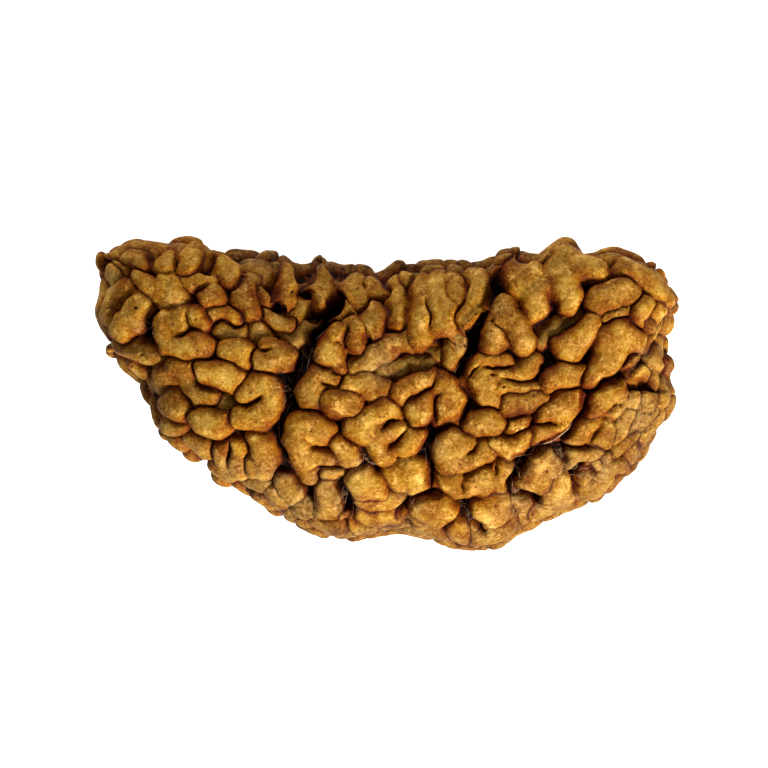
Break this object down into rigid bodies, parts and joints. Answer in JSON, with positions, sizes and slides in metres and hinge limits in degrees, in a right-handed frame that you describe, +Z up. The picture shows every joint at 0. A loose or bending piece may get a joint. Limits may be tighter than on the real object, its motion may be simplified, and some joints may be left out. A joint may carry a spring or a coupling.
{
  "type": "rudraksha seed",
  "caption": "Half-moon rudraksha bead seed with winding rounded nodules and deep grooves all over, lying on a small flat spot.",
  "frame": {"origin": "middle of the small flat spot that the seed lies on", "axes": "+X along the seed's length, +Y towards its hollow edge, +Z up through its front face"},
  "size_m": [0.0325, 0.0176, 0.0112],
  "materials": {
    "seed_shell": "dry woody shell, golden brown on the nodules and near black in the grooves, with a slight polish"
  },
  "bodies": {
    "root": {"rudraksha_seed": "seed_shell"}
  },
  "joints": []
}
